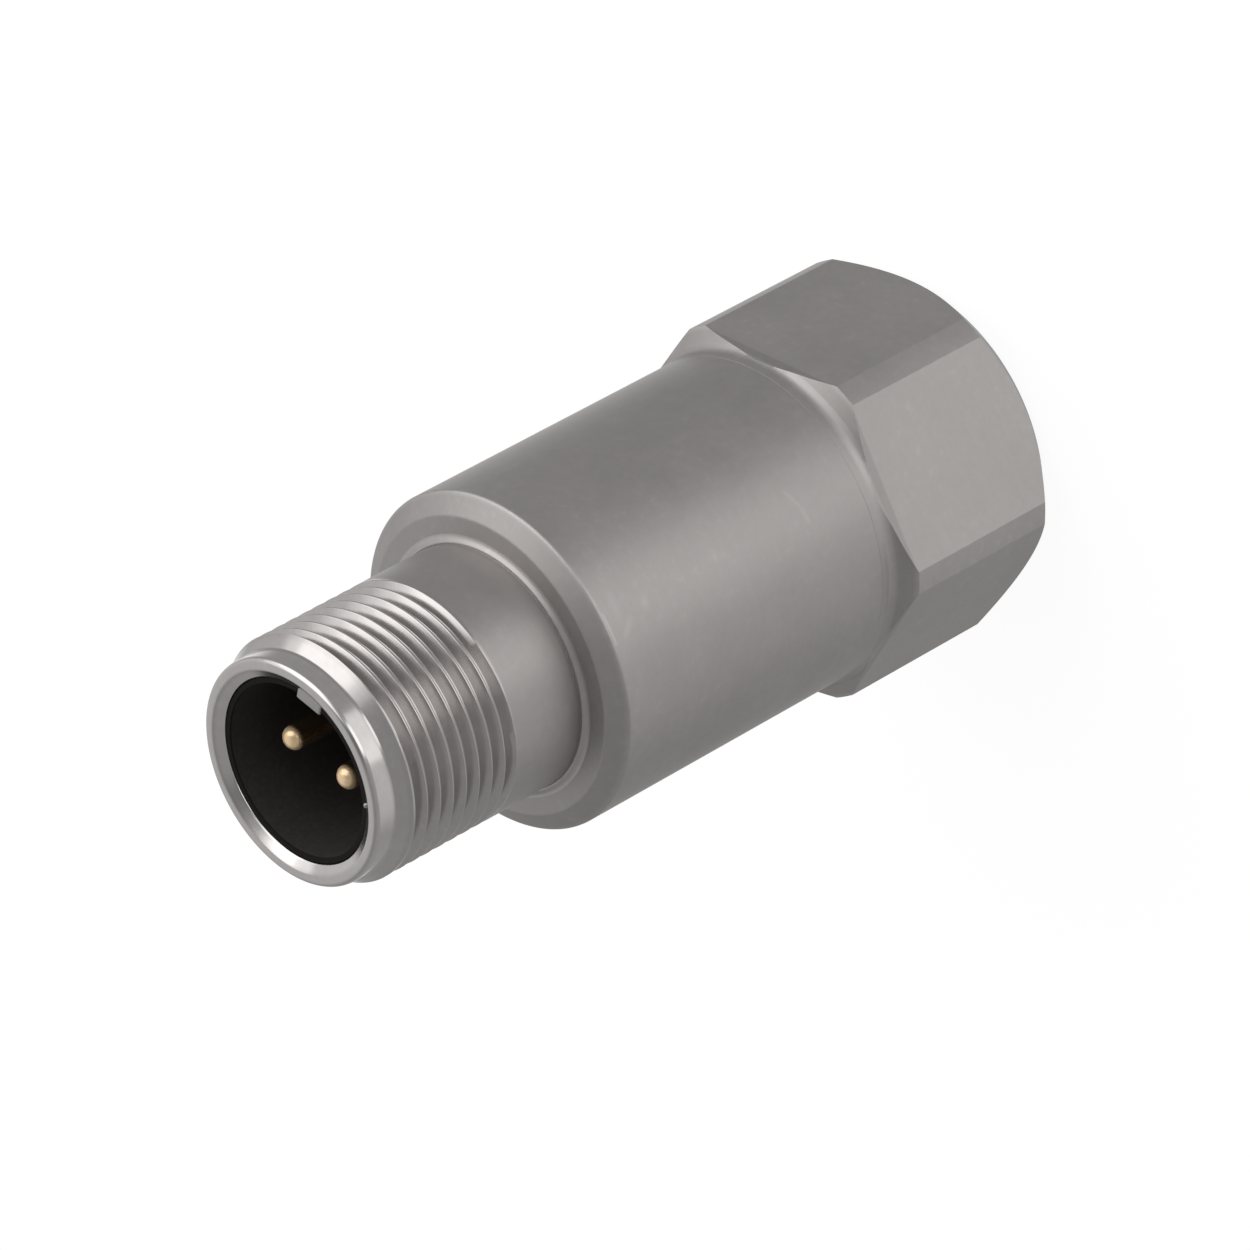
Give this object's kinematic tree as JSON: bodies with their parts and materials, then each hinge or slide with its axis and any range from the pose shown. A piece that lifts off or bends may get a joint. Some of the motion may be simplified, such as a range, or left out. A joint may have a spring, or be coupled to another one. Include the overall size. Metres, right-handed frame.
{
  "type": "vibration sensor",
  "caption": "Stainless-steel industrial accelerometer: hexagonal base with a tapped mounting hole, round case and a threaded, keyed socket on top.",
  "frame": {"origin": "centre of the flat mounting face, which is the middle of the bounding box's bottom", "axes": "+Z along the sensor's axis from the mounting face to the socket; +X through a corner of the hexagon, +Y square to a flat"},
  "size_m": [0.0246, 0.022, 0.054],
  "materials": {
    "stainless_steel": "satin turned and milled stainless steel",
    "gasket_rubber": "matt elastomer",
    "insert_plastic": "moulded black plastic",
    "seal_glass": "opaque sealing glass",
    "contact_gold": "gold-plated contact",
    "white_ceramic": "lapped alumina",
    "inner_steel": "ground steel",
    "crystal_ceramic": "silvered piezoelectric ceramic",
    "electrode_bronze": "rolled bronze foil",
    "insulating_film": "amber insulating film",
    "shield_metal": "drawn nickel alloy",
    "board_laminate": "solder-masked laminate",
    "component_ceramic": "small component body",
    "lead_copper": "tinned copper wire"
  },
  "bodies": {
    "root": {"hex_base": "stainless_steel", "case": "stainless_steel", "connector_shell": "stainless_steel", "insert_gasket": "gasket_rubber", "connector_insert": "insert_plastic", "glass_seal": "seal_glass", "contact_pin_a": "contact_gold", "contact_pin_b": "contact_gold", "isolation_disc": "white_ceramic", "stack_foot": "inner_steel", "lower_crystal": "crystal_ceramic", "electrode": "electrode_bronze", "upper_crystal": "crystal_ceramic", "top_insulator": "white_ceramic", "seismic_mass": "inner_steel", "bolt_sleeve": "insulating_film", "spring_washer": "inner_steel", "preload_bolt": "inner_steel", "shield_can": "shield_metal", "lead_grommet": "gasket_rubber", "shield_sleeve": "insulating_film", "board_spacer": "insert_plastic", "circuit_board": "board_laminate", "amplifier_chip": "insert_plastic", "filter_capacitor": "component_ceramic", "bias_resistor_a": "component_ceramic", "bias_resistor_b": "component_ceramic", "signal_lead": "lead_copper", "ground_lead": "lead_copper", "pin_lead_a": "lead_copper", "pin_lead_b": "lead_copper"}
  },
  "joints": []
}
